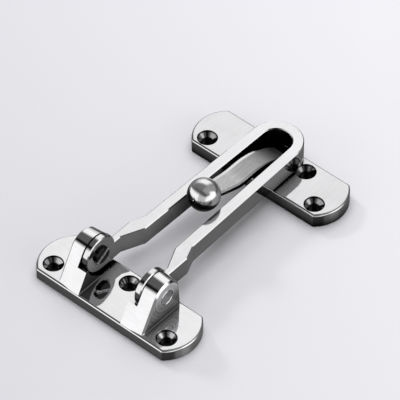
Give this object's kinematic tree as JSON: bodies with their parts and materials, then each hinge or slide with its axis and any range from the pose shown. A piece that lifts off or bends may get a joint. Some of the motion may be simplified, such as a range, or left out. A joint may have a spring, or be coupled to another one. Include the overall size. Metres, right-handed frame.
{
  "type": "swing bar door guard",
  "caption": "Polished swing bar door guard: a U-shaped bar hinged on a screw-on plate closes over a ball on a catch plate's arm and keeps the door ajar.",
  "frame": {"origin": "centre of the hinge plate's mounting face", "axes": "+Z out of the mounting faces, +Y along the bar from the hinge to the catch, X along the hinge axis"},
  "size_m": [0.0796, 0.1228, 0.0281],
  "materials": {
    "polished_base": "mirror polished plating on a casting",
    "polished_bar": "mirror polished plating",
    "pin_steel": "turned and plated, slotted head",
    "polished_catch": "polished plating, slightly softer than the bar",
    "polished_ball": "mirror polished turned ball"
  },
  "bodies": {
    "plates": {"hinge_base": "polished_base", "pivot_pin_left": "pin_steel", "pivot_pin_right": "pin_steel", "catch_plate": "polished_catch", "ball_knob": "polished_ball"},
    "bar": {"swing_bar": "polished_bar"}
  },
  "joints": [
    {"name": "bar_swing", "type": "hinge", "parent": "plates", "child": "bar", "pos_m": [0, 0.0035, 0.0161], "axis": [1, 0, 0], "range_deg": [0, 180]}
  ]
}
